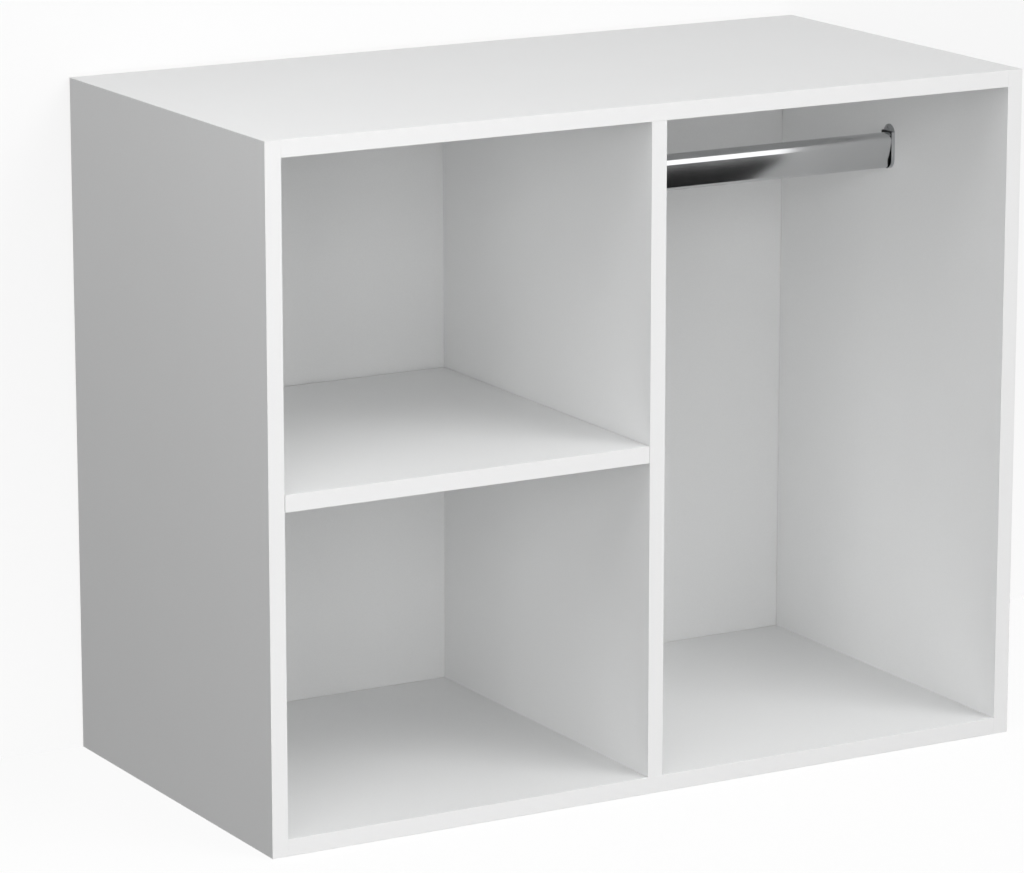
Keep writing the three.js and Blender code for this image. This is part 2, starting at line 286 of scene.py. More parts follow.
def stage_finish(name, share, foot_glow, glow):
    material = bpy.data.materials.new(name)
    material.use_nodes = True
    tree = material.node_tree
    tree.nodes.clear()
    path = node(tree, "ShaderNodeLightPath")
    facing = node(tree, "ShaderNodeNewGeometry")
    front = minus(tree, 1.0, facing.outputs["Backfacing"])
    visible = times(tree, path.outputs["Is Camera Ray"], front)
    clear = node(tree, "ShaderNodeBsdfTransparent")
    shaded = node(tree, "ShaderNodeBsdfDiffuse", {"Color": (share, share, share, 1)})
    height = node(tree, "ShaderNodeSeparateXYZ", {
        0: node(tree, "ShaderNodeTexCoord").outputs["Object"]}).outputs["Z"]
    strength = node(tree, "ShaderNodeMapRange", {
        0: height, 1: 0.0, 2: FADE_HEIGHT, 3: foot_glow, 4: glow})
    lit = node(tree, "ShaderNodeEmission", {"Color": WHITE, "Strength": strength.outputs[0]})
    both = node(tree, "ShaderNodeAddShader", {0: shaded.outputs[0], 1: lit.outputs[0]})
    mix = node(tree, "ShaderNodeMixShader", {0: visible, 1: clear.outputs[0], 2: both.outputs[0]})
    node(tree, "ShaderNodeOutputMaterial", {"Surface": mix.outputs[0]})
    return material


def stage_sheet(name, finish, corners):
    mesh = bpy.data.meshes.new(name)
    mesh.from_pydata(corners, [], [range(4)])
    mesh.materials.append(finish)
    made = bpy.data.objects.new(name, mesh)
    bpy.context.scene.collection.objects.link(made)
    return made


wall_y = unit_high.y + WALL_GAP
floor_z = unit_low.z - FLOOR_GAP
stage_sheet("studio_floor", stage_finish("pale_floor", share=0.09, foot_glow=0.91, glow=0.91), [
    (-STAGE_REACH, -STAGE_REACH, floor_z), (STAGE_REACH, -STAGE_REACH, floor_z),
    (STAGE_REACH, STAGE_REACH, floor_z), (-STAGE_REACH, STAGE_REACH, floor_z)])
stage_sheet("studio_wall", stage_finish("pale_wall", share=0.15, foot_glow=0.85, glow=0.80), [
    (-STAGE_REACH, wall_y, floor_z), (STAGE_REACH, wall_y, floor_z),
    (STAGE_REACH, wall_y, STAGE_REACH), (-STAGE_REACH, wall_y, STAGE_REACH)])
print("wall", round((wall_y - unit_high.y) / MM, 1), "mm behind the unit")

# %% [markdown]
# ## Effects that several finishes share
# Three small node groups do what more than one finish needs. The first is the fine pearl
# texture that is pressed into melamine and moulded plastic. The second varies the shine in
# soft patches, as hands and cloths do. The third is the run of fine lines left by drawing,
# rolling or brushing metal.

# %% Pearl texture
pearl, inlet, outlet = new_group("pearl_texture", "ShaderNodeTree", [
    ("Vector", VECTOR, None), ("Grain Size", FLOAT, 0.001), ("Tone Spread", FLOAT, 0.02)],
    [("Tone", FLOAT), ("Height", FLOAT)])
grain_scale = math_node(pearl, "DIVIDE", 1.0, inlet.outputs["Grain Size"])
grain = node(pearl, "ShaderNodeTexNoise", {
    "Vector": inlet.outputs["Vector"], "Scale": grain_scale, "Detail": 2.0, "Roughness": 0.6})
cloud_scale = math_node(pearl, "DIVIDE", grain_scale, 60.0)
cloud = node(pearl, "ShaderNodeTexNoise", {
    "Vector": inlet.outputs["Vector"], "Scale": cloud_scale, "Detail": 2.0})
faint_cloud = math_node(pearl, "MULTIPLY_ADD", cloud.outputs[0], 0.3, -0.15)
both = plus(pearl, grain.outputs[0], faint_cloud)
spread = times(pearl, minus(pearl, both, 0.5), inlet.outputs["Tone Spread"])
pearl.links.new(plus(pearl, spread, 1.0), outlet.inputs["Tone"])
pearl.links.new(grain.outputs[0], outlet.inputs["Height"])

# %% Handled shine
handled, inlet, outlet = new_group("handled_shine", "ShaderNodeTree", [
    ("Vector", VECTOR, None), ("Roughness", FLOAT, 0.4), ("Change", FLOAT, 0.05),
    ("Patch Size", FLOAT, 0.1)], [("Roughness", FLOAT)])
patch_scale = math_node(handled, "DIVIDE", 1.0, inlet.outputs["Patch Size"])
patch = node(handled, "ShaderNodeTexNoise", {
    "Vector": inlet.outputs["Vector"], "Scale": patch_scale, "Detail": 3.0})
change = times(handled, minus(handled, patch.outputs[0], 0.5), inlet.outputs["Change"])
handled.links.new(plus(handled, change, inlet.outputs["Roughness"]),
                  outlet.inputs["Roughness"])

# %% Drawn lines
drawn, inlet, outlet = new_group("drawn_lines", "ShaderNodeTree", [
    ("Vector", VECTOR, None), ("Line Width", FLOAT, 0.0004), ("Stretch", VECTOR, (1, 1, 1)),
    ("Tone Spread", FLOAT, 0.05)], [("Tone", FLOAT), ("Height", FLOAT)])
stretched = node(drawn, "ShaderNodeVectorMath", {
    0: inlet.outputs["Vector"], 1: inlet.outputs["Stretch"]}, operation="MULTIPLY")
line_scale = math_node(drawn, "DIVIDE", 1.0, inlet.outputs["Line Width"])
lines = node(drawn, "ShaderNodeTexNoise", {
    "Vector": stretched.outputs[0], "Scale": line_scale, "Detail": 3.0})
line_tone = times(drawn, minus(drawn, lines.outputs[0], 0.5), inlet.outputs["Tone Spread"])
drawn.links.new(plus(drawn, line_tone, 1.0), outlet.inputs["Tone"])
drawn.links.new(lines.outputs[0], outlet.inputs["Height"])
print("node groups:", pearl.name, handled.name, drawn.name)

# %% [markdown]
# ## Board finishes
# Melamine is a printed and pressed paper skin: even in colour, half matt, with a texture that
# a fingertip just feels. The edge band is plastic, a shade whiter and smoother. Both take the
# same groups with their own values.

# %% Melamine and edge band
def new_finish(name, **constants):
    material = bpy.data.materials.new(name)
    material.use_nodes = True
    tree = material.node_tree
    shader = tree.nodes["Principled BSDF"]
    for label, value in constants.items():
        shader.inputs[label.replace("_", " ")].default_value = value
    spot = node(tree, "ShaderNodeTexCoord").outputs["Object"]
    return material, tree, shader, spot


def tinted(tree, colour, tone):
    return node(tree, "ShaderNodeVectorMath", {0: colour, "Scale": tone},
                operation="SCALE").outputs[0]


def bump(tree, shader, height, depth, strength=1.0):
    made = node(tree, "ShaderNodeBump", {
        "Height": height, "Distance": depth, "Strength": strength})
    tree.links.new(made.outputs[0], shader.inputs["Normal"])


def pearl_finish(name, colour, roughness, grain_size, depth, tone_spread, change=0.06):
    material, tree, shader, spot = new_finish(name)
    texture = node(tree, "ShaderNodeGroup", node_tree=pearl, inputs={
        "Vector": spot, "Grain Size": grain_size, "Tone Spread": tone_spread})
    shine = node(tree, "ShaderNodeGroup", node_tree=handled, inputs={
        "Vector": spot, "Roughness": roughness, "Change": change, "Patch Size": 0.12})
    tree.links.new(tinted(tree, colour, texture.outputs["Tone"]), shader.inputs["Base Color"])
    tree.links.new(shine.outputs["Roughness"], shader.inputs["Roughness"])
    bump(tree, shader, texture.outputs["Height"], depth)
    return material


MELAMINE_WHITE = (0.838, 0.842, 0.842)
BAND_WHITE = (0.805, 0.805, 0.805)
melamine = pearl_finish("white_melamine", MELAMINE_WHITE, 0.48, 1.3 * MM, 0.012 * MM, 0.06)
edge_band = pearl_finish("white_edge_band", BAND_WHITE, 0.4, 1.6 * MM, 0.006 * MM, 0.03)
# Black moulded plastic for the pads. The same black is also painted shade on the insides of the
# socket rims.
black_plastic_and_shade = pearl_finish("black_moulding_and_painted_shade", (0.018, 0.018, 0.019), 0.55, 0.5 * MM,
                             0.01 * MM, 0.3)

# %% [markdown]
# Where a board is cut and not banded, the chipboard shows: coarse flakes of wood in many tones,
# pressed in glue. A Voronoi texture gives each flake one tone, and stretching it along the
# board makes them lie flat, as the press leaves them.

# %% Chipboard
FLAKE_SIZE = 2.2 * MM
chipboard, tree, shader, spot = new_finish("bare_chipboard", Roughness=0.9)
flat_flakes = node(tree, "ShaderNodeMapping", {"Vector": spot, "Scale": (0.6, 1.0, 0.6)})
coarse = node(tree, "ShaderNodeTexVoronoi", {
    "Vector": flat_flakes.outputs[0], "Scale": 1 / FLAKE_SIZE})
fine = node(tree, "ShaderNodeTexNoise", {"Vector": spot, "Scale": 900.0, "Detail": 4.0})
flake_tone = node(tree, "ShaderNodeSeparateColor", {0: coarse.outputs["Color"]}).outputs[0]
wood = blend_colour(tree, flake_tone, (0.30, 0.19, 0.10, 1), (0.62, 0.45, 0.27, 1))
fibres = math_node(tree, "MULTIPLY_ADD", fine.outputs[0], 0.5, 0.72)
tree.links.new(tinted(tree, wood, fibres), shader.inputs["Base Color"])
bump(tree, shader, plus(tree, coarse.outputs["Distance"], fine.outputs[0]), 0.25 * MM)

# %% [markdown]
# The back panel is thin hardboard. Its face into the bays is lacquered white. Its rear is bare
# brown fibre with the print of the wire screen that it was pressed on, a fine square mesh.

# %% Hardboard
SCREEN_PITCH = 1.6 * MM
back_low, back_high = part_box("back_panel")
hardboard, tree, shader, spot = new_finish("lacquered_hardboard")
axes = node(tree, "ShaderNodeSeparateXYZ", {0: spot})
behind = math_node(tree, "GREATER_THAN", axes.outputs["Y"], (back_low.y + back_high.y) / 2)
texture = node(tree, "ShaderNodeGroup", node_tree=pearl, inputs={
    "Vector": spot, "Grain Size": 1.4 * MM, "Tone Spread": 0.06})
felt = node(tree, "ShaderNodeTexNoise", {"Vector": spot, "Scale": 420.0, "Detail": 5.0,
                                         "Roughness": 0.7})
white_face = tinted(tree, (0.808, 0.812, 0.812), texture.outputs["Tone"])
brown_face = blend_colour(tree, felt.outputs[0], (0.17, 0.10, 0.055, 1), (0.42, 0.28, 0.17, 1))
tree.links.new(blend_colour(tree, behind, white_face, brown_face), shader.inputs["Base Color"])
tree.links.new(math_node(tree, "MULTIPLY_ADD", behind, 0.3, 0.55), shader.inputs["Roughness"])
weave = [math_node(tree, "SINE", times(tree, axes.outputs[axis], 2 * math.pi / SCREEN_PITCH))
         for axis in "XZ"]
screen = times(tree, plus(tree, *weave), behind)
relief = plus(tree, times(tree, screen, 0.6), texture.outputs["Height"])
bump(tree, shader, relief, 0.05 * MM)
print("board finishes:", melamine.name, edge_band.name, chipboard.name, hardboard.name)

# %% [markdown]
# ## Metal and dowel finishes
# The rail is chromed: a near mirror with the faint lines of the drawn tube under the plating.
# The sockets are satin, the small fittings are cast and tumbled zinc, duller and a little
# mottled. The dowels are plain beech with its short dark flecks.

# %% Metals
def metal_finish(name, colour, roughness, stretch, line_width, tone_spread, depth, change):
    material, tree, shader, spot = new_finish(name, Metallic=1.0)
    texture = node(tree, "ShaderNodeGroup", node_tree=drawn, inputs={
        "Vector": spot, "Line Width": line_width, "Stretch": stretch,
        "Tone Spread": tone_spread})
    shine = node(tree, "ShaderNodeGroup", node_tree=handled, inputs={
        "Vector": spot, "Roughness": roughness, "Change": change, "Patch Size": 0.03})
    tree.links.new(tinted(tree, colour, texture.outputs["Tone"]), shader.inputs["Base Color"])
    tree.links.new(shine.outputs["Roughness"], shader.inputs["Roughness"])
    bump(tree, shader, texture.outputs["Height"], depth)
    return material


chrome = metal_finish("chromed_tube", (0.57, 0.575, 0.58), 0.14, (0.01, 1, 1), 0.5 * MM, 0.06,
                      0.0006 * MM, 0.05)
satin_metal = metal_finish("satin_socket", (0.50, 0.51, 0.52), 0.34, (1, 1, 0.05), 0.3 * MM,
                           0.12, 0.002 * MM, 0.1)
cast_zinc = metal_finish("cast_zinc", (0.56, 0.57, 0.58), 0.4, (1, 1, 1), 0.7 * MM, 0.2,
                         0.006 * MM, 0.15)

# %% Beech
beech, tree, shader, spot = new_finish("plain_beech", Roughness=0.75)
flecks = node(tree, "ShaderNodeTexNoise", {
    "Vector": node(tree, "ShaderNodeMapping", {"Vector": spot, "Scale": (0.25, 1, 1)}).outputs[0],
    "Scale": 1100.0, "Detail": 3.0})
rings = node(tree, "ShaderNodeTexNoise", {
    "Vector": node(tree, "ShaderNodeMapping", {"Vector": spot, "Scale": (0.08, 1, 1)}).outputs[0],
    "Scale": 260.0, "Detail": 2.0})
beech_tone = times(tree, flecks.outputs[0], rings.outputs[0])
tree.links.new(blend_colour(tree, times(tree, beech_tone, 2.4),
                            (0.46, 0.29, 0.15, 1), (0.72, 0.53, 0.33, 1)),
               shader.inputs["Base Color"])
bump(tree, shader, flecks.outputs[0], 0.05 * MM)
print("metals:", chrome.name, satin_metal.name, cast_zinc.name, "and", beech.name)

# %% [markdown]
# ## Boards
# A sawn and banded board never has a knife edge: every long edge is eased by a fraction of a
# millimetre, and that thin line of light is what makes it look real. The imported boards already
# have the true drillings and grooves, so each one is copied, its loose triangles are merged
# into whole faces, and only the edges of its outer box are bevelled. Edges that lie flush
# against another board stay sharp, so the tight joint doesn't show.

# %% Board helpers
EASED = 0.45 * MM
TOUCH = 0.01 * MM
WELD = 0.001 * MM


def new_piece(name, mesh, body, replaced):
    made = bpy.data.objects.new(name, mesh)
    bpy.context.scene.collection.objects.link(made)
    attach(made, body)
    if replaced:
        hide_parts(*replaced)
    return made


def smooth_by_angle(mesh, angle=30):
    mesh.shade_smooth()
    mesh.set_sharp_from_angle(angle=math.radians(angle))


def planes_of(point, low, high):
    """The outer planes of the box that a point lies on, such as {"-x", "+z"}."""
    found = set()
    for axis, name in enumerate("xyz"):
        if abs(point[axis] - low[axis]) < TOUCH:
            found.add("-" + name)
        if abs(point[axis] - high[axis]) < TOUCH:
            found.add("+" + name)
    return found


def merge_faces(work):
    """Joins loose triangles, and then every flat patch of them into one face."""
    bmesh.ops.remove_doubles(work, verts=work.verts, dist=WELD)
    bmesh.ops.dissolve_limit(work, angle_limit=math.radians(0.5), verts=work.verts,
                             edges=work.edges)


def board(name, joints, bare, body="carcass"):
    """joints: planes that meet another board. bare: planes that are sawn and not banded."""
    low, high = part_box(name)
    work = bmesh.new()
    work.from_mesh(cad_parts[name].data)
    merge_faces(work)
    eased = []
    for edge in work.edges:
        shared = (planes_of(edge.verts[0].co, low, high)
                  & planes_of(edge.verts[1].co, low, high))
        if len(shared) == 2 and not shared & (joints | {"-y"}):
            eased.append(edge)
    bmesh.ops.bevel(work, geom=eased, offset=EASED, segments=2, profile=0.5, affect="EDGES",
                    clamp_overlap=True)
    for face in work.faces:
        centre = face.calc_center_median()
        drilled = all(low[i] + EASED < centre[i] < high[i] - EASED for i in range(3))
        face.material_index = 1 if drilled or planes_of(centre, low, high) & bare else 0
    mesh = bpy.data.meshes.new(name + "_board")
    work.to_mesh(mesh)
    work.free()
    mesh.materials.append(melamine)
    mesh.materials.append(chipboard)
    mesh.shade_flat()
    return new_piece(name + "_board", mesh, body, [name])


# %% Carcass boards
boards = [
    board("left_side", {"+x"}, {"+y"}),
    board("right_side", {"-x"}, {"+y"}),
    board("top_panel", {"-x", "+x"}, {"-x", "+x", "+y"}),
    board("bottom_panel", {"-x", "+x"}, {"-x", "+x", "+y"}),
    board("divider", {"-z", "+z"}, {"-z", "+z", "+y"}),
]
shelf_board = board("shelf", set(), set(), "shelf_board")
for made in boards + [shelf_board]:
    print(made.name, len(made.data.polygons), "faces")

# %% [markdown]
# ## Edge bands
# A band is a 1 mm strip of plastic glued along the front edge of each board and trimmed with a
# rounded cutter. All six follow one rule, a rounded section carried along a length, so one
# geometry tree makes them: each seat is a point with a turn and a length.

# %% Geometry tree helpers
def seats(name, rows):
    """A cloud of points for a geometry tree: (place, turn, length) for each."""
    mesh = bpy.data.meshes.new(name)
    mesh.from_pydata([place for place, turn, run in rows], [], [])
    for label, kind in (("turn", "QUATERNION"), ("run", "FLOAT")):
        mesh.attributes.new(label, kind, "POINT")
    for i, (place, turn, run) in enumerate(rows):
        mesh.attributes["turn"].data[i].value = turn
        mesh.attributes["run"].data[i].value = run
    return mesh


def run_tree(tree, name, points, values, body, replaced, finish):
    """Runs a geometry tree on seats and turns the result into a plain mesh."""
    holder = bpy.data.objects.new(name + "_seats", points)
    bpy.context.scene.collection.objects.link(holder)
    modifier = holder.modifiers.new(tree.name, "NODES")
    modifier.node_group = tree
    sockets = {item.name: item.identifier for item in tree.interface.items_tree
               if item.in_out == "INPUT"}
    for label, value in {**values, "Finish": finish}.items():
        modifier[sockets[label]] = value
    graph = bpy.context.evaluated_depsgraph_get()
    mesh = bpy.data.meshes.new_from_object(holder.evaluated_get(graph))
    mesh.name = name
    holder.modifiers.clear()
    bpy.data.objects.remove(holder)
    smooth_by_angle(mesh)
    print(name, len(mesh.polygons), "faces")
    return new_piece(name, mesh, body, replaced)


def place_on_seats(tree, inlet, outlet, shape):
    """Ends a tree: the shape on every seat, turned, made real and given its finish."""
    turn = node(tree, "GeometryNodeInputNamedAttribute", {"Name": "turn"},
                data_type="QUATERNION")
    run = node(tree, "GeometryNodeInputNamedAttribute", {"Name": "run"}, data_type="FLOAT")
    copies = node(tree, "GeometryNodeInstanceOnPoints", {
        "Points": inlet.outputs["Geometry"], "Instance": shape, "Rotation": turn.outputs[0],
        "Scale": vector_of(tree, x=1.0, y=1.0, z=run.outputs[0])})
    real = node(tree, "GeometryNodeRealizeInstances", {"Geometry": copies.outputs[0]})
    finished = node(tree, "GeometryNodeSetMaterial", {
        "Geometry": real.outputs[0], "Material": inlet.outputs["Finish"]})
    tree.links.new(finished.outputs[0], outlet.inputs["Geometry"])


# %% Edge band tree
band_tree, inlet, outlet = new_group("edge_band_strip", "GeometryNodeTree", [
    ("Geometry", GEOMETRY, None), ("Board Thickness", FLOAT, 0.016),
    ("Band Thickness", FLOAT, 0.001), ("Front Radius", FLOAT, 0.0005),
    ("Finish", MATERIAL, None)], [("Geometry", GEOMETRY)])
section = node(band_tree, "GeometryNodeCurvePrimitiveQuadrilateral", {
    "Width": inlet.outputs["Board Thickness"], "Height": inlet.outputs["Band Thickness"]})
spot_y = node(band_tree, "ShaderNodeSeparateXYZ", {
    0: node(band_tree, "GeometryNodeInputPosition").outputs[0]}).outputs["Y"]
in_front = math_node(band_tree, "LESS_THAN", spot_y, 0.0)
corner_radius = times(band_tree, in_front, inlet.outputs["Front Radius"])
rounded = node(band_tree, "GeometryNodeFilletCurve", {
    "Curve": section.outputs[0], "Radius": corner_radius, "Count": 4}, mode="POLY")
back_step = times(band_tree, inlet.outputs["Band Thickness"], -0.5)
seated = node(band_tree, "GeometryNodeTransform", {
    "Geometry": rounded.outputs[0],
    "Translation": vector_of(band_tree, y=back_step)})
face = node(band_tree, "GeometryNodeFillCurve", {"Curve": seated.outputs[0]}, mode="NGONS")
strip = node(band_tree, "GeometryNodeExtrudeMesh", {
    "Mesh": face.outputs[0], "Offset": (0, 0, 1), "Offset Scale": 1.0, "Individual": False},
    mode="FACES")
start_cap = node(band_tree, "GeometryNodeFlipFaces", {"Mesh": face.outputs[0]})
closed = node(band_tree, "GeometryNodeJoinGeometry", {0: strip.outputs[0]})
band_tree.links.new(start_cap.outputs[0], closed.inputs[0])
welded = node(band_tree, "GeometryNodeMergeByDistance", {
    "Geometry": closed.outputs[0], "Distance": WELD})
place_on_seats(band_tree, inlet, outlet, welded.outputs[0])

# %% [markdown]
# An upright band starts at the bottom of its board and runs up. A level band starts at the left
# end and runs to the right, which is a quarter turn about the depth axis.

# %% Edge bands
UPRIGHT = Quaternion((1, 0, 0, 0))
LEVEL = Quaternion((0, 1, 0), math.radians(90))


def band_seat(name):
    low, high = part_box(name + "_edging")
    centre = (low + high) / 2
    if high.z - low.z > high.x - low.x:
        return (centre.x, high.y, low.z), UPRIGHT, high.z - low.z
    return (low.x, high.y, centre.z), LEVEL, high.x - low.x


band_sizes = {"Board Thickness": inside_floor - unit_low.z,
              "Band Thickness": board_front - unit_low.y, "Front Radius": 0.25 * MM}
carcass_names = ["left_side", "right_side", "top_panel", "bottom_panel", "divider"]
carcass_bands = run_tree(
    band_tree, "carcass_edge_bands", seats("band_seats", [band_seat(n) for n in carcass_names]),
    band_sizes, "carcass", [n + "_edging" for n in carcass_names], edge_band)
shelf_band = run_tree(
    band_tree, "shelf_edge_band", seats("shelf_band_seat", [band_seat("shelf")]),
    band_sizes, "shelf_board", ["shelf_edging"], edge_band)

# %% [markdown]
# Smooth shading would blend the rounded corners into the wide front, which would then look
# slightly barrelled. So only the narrow corner strips stay smooth, and every wide face is flat.

# %% Flat band fronts
CORNER_STRIP = 0.25 * MM
for made in (carcass_bands, shelf_band):
    for polygon in made.data.polygons:
        run = max((made.data.vertices[i].co - polygon.center).length for i in polygon.vertices)
        polygon.use_smooth = polygon.area < 2 * run * CORNER_STRIP
    flat = sum(not polygon.use_smooth for polygon in made.data.polygons)
    print(made.name, flat, "flat faces")

# %% [markdown]
# ## Back panel
# The sheet is already right: 3 mm thick, and its edges are out of sight in the grooves. It
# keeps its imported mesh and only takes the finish.

# %% Back panel
def keep_shape(name, finish):
    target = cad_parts[name]
    if not target.data.materials:
        target.data.materials.append(finish)
    for slot in target.material_slots:
        slot.material = finish


keep_shape("back_panel", hardboard)

# %% [markdown]
# ## Hanging rail
# The tube's section has a full round top with short straight sides, which clothes hangers slide
# on, and flanks that close in to a narrower round foot. The top is a superellipse: its sides
# stay steep for longer than a circle's, which gives the broad bright line of the real tube. The
# flanks bow out by half a millimetre, which spreads the reflection of the dark floor into a soft
# shade, and the crease where they leave the straight sides stays crisp.

# %% Rail section
RAIL_TOP_RADIUS = 8.5 * MM
RAIL_SHOULDER = 0.6 * MM
RAIL_FOOT_RADIUS = 5.0 * MM
RAIL_WALL = 1.2 * MM
FLANK_BOW = 0.5 * MM
CROWN_POWER = 2.7
TOP_STEPS, FLANK_STEPS, FOOT_STEPS = 40, 10, 14
foot_drop = (rail_high.z - rail_low.z) - RAIL_TOP_RADIUS - RAIL_FOOT_RADIUS


def arc(centre_z, radius, start, end, steps):
    angles = [start + (end - start) * i / steps for i in range(steps + 1)]
    return [Vector((radius * math.cos(a), centre_z + radius * math.sin(a))) for a in angles]


def crown_arc(radius, steps):
    """A half superellipse over the tube's width, from its right side to its left."""
    points = []
    for i in range(steps + 1):
        turn = math.pi * i / steps
        across, up = math.cos(turn), max(math.sin(turn), 0.0)
        points.append(Vector((math.copysign(abs(across) ** (2 / CROWN_POWER), across),
                              up ** (2 / CROWN_POWER))) * radius)
    return points


def bowed(start, end, bow, steps):
    """Points between start and end on a shallow curve that bulges to the right of the way."""
    way = end - start
    side = Vector((-way.y, way.x)).normalized()
    return [start + way * (i / steps) + side * bow * math.sin(math.pi * i / steps)
            for i in range(1, steps)]


def rail_outline(inset):
    top, foot = RAIL_TOP_RADIUS - inset, RAIL_FOOT_RADIUS - inset
    flank_drop = foot_drop - RAIL_SHOULDER
    lean = math.atan2(top, flank_drop) - math.asin(foot / math.hypot(top, flank_drop))
    crown = ([Vector((top, -RAIL_SHOULDER))] + crown_arc(top, TOP_STEPS)
             + [Vector((-top, -RAIL_SHOULDER))])
    base = arc(-foot_drop, foot, math.pi + lean, 2 * math.pi - lean, FOOT_STEPS)
    return (crown + bowed(crown[-1], base[0], -FLANK_BOW, FLANK_STEPS)
            + base + bowed(base[-1], crown[0], -FLANK_BOW, FLANK_STEPS))


# %% Rail mesh
rail_y = (rail_low.y + rail_high.y) / 2
rail_z = rail_high.z - RAIL_TOP_RADIUS
work = bmesh.new()
rings = []
for x, outline in ((rail_low.x, rail_outline(0)), (rail_high.x, rail_outline(0)),
                   (rail_high.x, rail_outline(RAIL_WALL)), (rail_low.x, rail_outline(RAIL_WALL))):
    rings.append([work.verts.new((x, rail_y + p.x, rail_z + p.y)) for p in outline])
for first, second in zip(rings, rings[1:] + rings[:1]):
    for i in range(len(first)):
        j = (i + 1) % len(first)
        work.faces.new((first[i], first[j], second[j], second[i]))
bmesh.ops.recalc_face_normals(work, faces=work.faces)
work.normal_update()
rim = [e for e in work.edges if abs(e.verts[0].co.x - e.verts[1].co.x) < TOUCH
       and len(e.link_faces) == 2 and e.calc_face_angle(0) > math.radians(60)]
bmesh.ops.bevel(work, geom=rim, offset=0.2 * MM, segments=2, profile=0.5, affect="EDGES",
                clamp_overlap=True)
rail_mesh = bpy.data.meshes.new("rail_tube")
work.to_mesh(rail_mesh)
work.free()
rail_mesh.materials.append(chrome)
smooth_by_angle(rail_mesh, 8)
crease_z = rail_z - RAIL_SHOULDER
for edge in rail_mesh.edges:
    if all(abs(rail_mesh.vertices[i].co.z - crease_z) < TOUCH for i in edge.vertices):
        edge.use_edge_sharp = True
new_piece("rail_tube", rail_mesh, "rail", ["hanging_rail"])
print("rail_tube", len(rail_mesh.polygons), "faces,",
      round((rail_high.x - rail_low.x) / MM, 1), "mm long")

# %% [markdown]
# ## Rail sockets and pads
# A socket is a thin plate with a low rim that is open at the top, so the rail drops in from
# above. A black pad inside it keeps the tube from rattling, and its black also stands for the
# shade deep in the pocket. The inside of the rim gets the same black as painted shade, so the
# pocket and its reflection in the chrome look dark. Both are pressed or moulded, so no edge is
# sharp: the imported shapes are copied and all their hard edges are rounded off.

# %% Sockets and pads
# The faces that this picks are painted black as shade inside the socket.
def faces_pocket(face):
    """Whether a face looks inwards at the upright middle line of the rail's end."""
    centre = face.calc_center_median()
    foot_centre = rail_low.z + RAIL_TOP_RADIUS
    inwards = Vector((0.0, rail_y - centre.y, max(foot_centre - centre.z, 0.0)))
    return face.normal.dot(inwards.normalized()) > 0.9


def softened(name, nodes, width, finish, shade_lining=None):
    """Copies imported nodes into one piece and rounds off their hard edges."""
    work = bmesh.new()
    for node_name in nodes:
        work.from_mesh(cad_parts[node_name].data)
    merge_faces(work)
    hard = [edge for edge in work.edges if len(edge.link_faces) == 2
            and edge.calc_face_angle(0) > math.radians(35)]
    bmesh.ops.bevel(work, geom=hard, offset=width, segments=3, profile=0.5, affect="EDGES",
                    clamp_overlap=True)
    # Faces that look into the pocket get the black as painted shade.
    if shade_lining:
        for face in work.faces:
            face.material_index = 1 if faces_pocket(face) else 0
    mesh = bpy.data.meshes.new(name)
    work.to_mesh(mesh)
    work.free()
    mesh.materials.append(finish)
    if shade_lining:
        mesh.materials.append(shade_lining)
    smooth_by_angle(mesh, 32)
    print(name, len(mesh.polygons), "faces")
    return new_piece(name, mesh, "carcass", nodes)


ENDS = ("left", "right")
for end in ENDS:
    softened("socket_" + end, ["rail_socket_" + end], 0.15 * MM, satin_metal,
             black_plastic_and_shade)
    softened("pad_" + end, ["rail_pad_" + end], 0.1 * MM, black_plastic_and_shade)

# %% [markdown]
# ## Turned fittings
# Screws, bolts, cams, pins and dowels are all turned on a lathe, so they share one helper that
# joins rings end to end along an axis. A row says where a ring starts and stops and its radius
# at both ends. Each kind of fitting gets a small geometry tree with its sizes as inputs, and
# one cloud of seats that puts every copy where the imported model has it.

# %% Lathe helpers
SMOOTH, FINE = 48, 32


def raised(tree, geometry, z):
    return node(tree, "GeometryNodeTransform", {
        "Geometry": geometry, "Translation": vector_of(tree, z=z)}).outputs[0]


def turned(tree, rows, facets, extra=()):
    joined = node(tree, "GeometryNodeJoinGeometry")
    for start, stop, first, last in rows:
        ring = node(tree, "GeometryNodeMeshCone", {
            "Vertices": facets, "Radius Bottom": first, "Radius Top": last,
            "Depth": minus(tree, stop, start)}, fill_type="NONE")
        tree.links.new(raised(tree, ring.outputs[0], start), joined.inputs[0])
    for part in extra:
        tree.links.new(part, joined.inputs[0])
    return node(tree, "GeometryNodeMergeByDistance", {
        "Geometry": joined.outputs[0], "Distance": WELD}).outputs[0]


def block(tree, size, centre, turn=0.0):
    cube = node(tree, "GeometryNodeMeshCube", {"Size": vector_of(tree, **dict(zip("xyz", size)))})
    return node(tree, "GeometryNodeTransform", {
        "Geometry": cube.outputs[0], "Rotation": (0, 0, turn),
        "Translation": vector_of(tree, **dict(zip("xyz", centre)))}).outputs[0]


def cut(tree, body, cutters):
    """Cuts shapes out of a body and welds the slivers that this leaves."""
    made = node(tree, "GeometryNodeMeshBoolean", {"Mesh 1": body}, operation="DIFFERENCE",
                solver="EXACT")
    for cutter in cutters:
        tree.links.new(cutter, made.inputs["Mesh 2"])
    return node(tree, "GeometryNodeMergeByDistance", {
        "Geometry": made.outputs[0], "Distance": 5 * WELD}).outputs[0]


def fitting_tree(name, sizes):
    """A new tree with a length input for each name in sizes."""
    tree, inlet, outlet = new_group(name, "GeometryNodeTree", [
        ("Geometry", GEOMETRY, None)] + [(label, FLOAT, 0.001) for label in sizes]
        + [("Finish", MATERIAL, None)], [("Geometry", GEOMETRY)])
    return tree, inlet, outlet, [inlet.outputs[label] for label in sizes]


